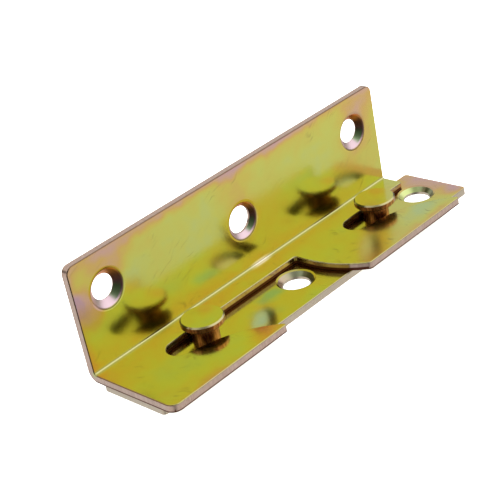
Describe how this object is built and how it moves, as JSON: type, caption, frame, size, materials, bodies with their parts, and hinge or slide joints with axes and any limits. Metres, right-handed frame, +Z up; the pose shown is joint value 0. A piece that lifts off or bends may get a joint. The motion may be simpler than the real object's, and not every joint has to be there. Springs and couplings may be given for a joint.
{
  "type": "bed rail fastener",
  "caption": "Folded steel hook plate with countersunk screw holes that slides onto the mushroom studs of a flat plate, to join a bed rail to its post.",
  "frame": {"origin": "underside of the stud plate, on the axis of its middle screw hole", "axes": "+X along the fold, from the closed to the open ends of the slots; +Y towards the wall; +Z up from the stud plate"},
  "size_m": [0.1176, 0.0288, 0.0325],
  "materials": {
    "yellow_zinc_sheet": "yellow-passivated zinc on cold-rolled sheet, semi-gloss with rainbow tints",
    "yellow_zinc_stud": "yellow-passivated zinc on turned steel, semi-gloss"
  },
  "bodies": {
    "stud_half": {"stud_plate": "yellow_zinc_sheet", "left_stud": "yellow_zinc_stud", "right_stud": "yellow_zinc_stud"},
    "hook_half": {"angle_plate": "yellow_zinc_sheet"}
  },
  "joints": [
    {"name": "hook_slide", "type": "slide", "parent": "stud_half", "child": "hook_half", "axis": [1, 0, 0], "range_m": [-0.0334, 0.0081]}
  ]
}
